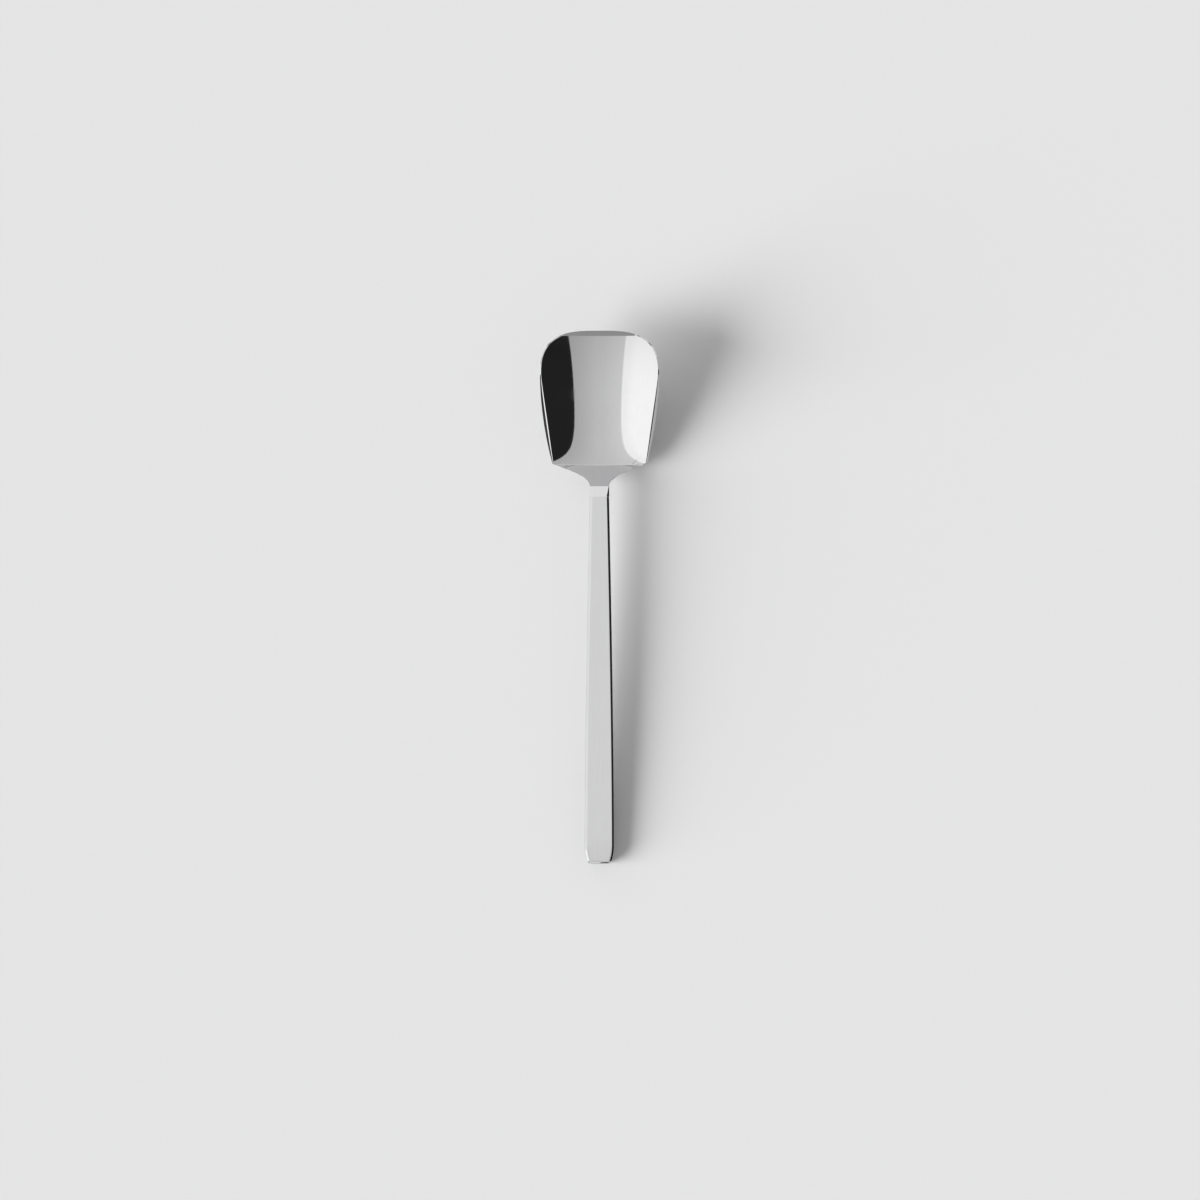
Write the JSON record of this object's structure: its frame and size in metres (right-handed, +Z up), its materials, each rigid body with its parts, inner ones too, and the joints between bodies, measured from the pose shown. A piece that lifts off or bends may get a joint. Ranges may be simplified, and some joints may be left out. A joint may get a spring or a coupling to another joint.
{
  "type": "sugar spoon",
  "caption": "Sugar spoon with a tilted square-fronted trough bowl, a steep shoulder and a tapered square bar handle, in polished steel.",
  "frame": {"origin": "on the table under the middle of the spoon's length", "axes": "+Y along the spoon, from the end of the handle to the lip of the bowl; +Z up, out of the open side of the bowl; +X across"},
  "size_m": [0.029, 0.13, 0.0165],
  "materials": {
    "polished_steel": "stainless steel, buffed to a mirror",
    "silver_braze": "silver brazing filler, polished flush"
  },
  "bodies": {
    "root": {"bowl": "polished_steel", "bowl_braze_seam": "silver_braze", "neck": "polished_steel", "neck_braze_sleeve": "silver_braze", "handle": "polished_steel"}
  },
  "joints": []
}
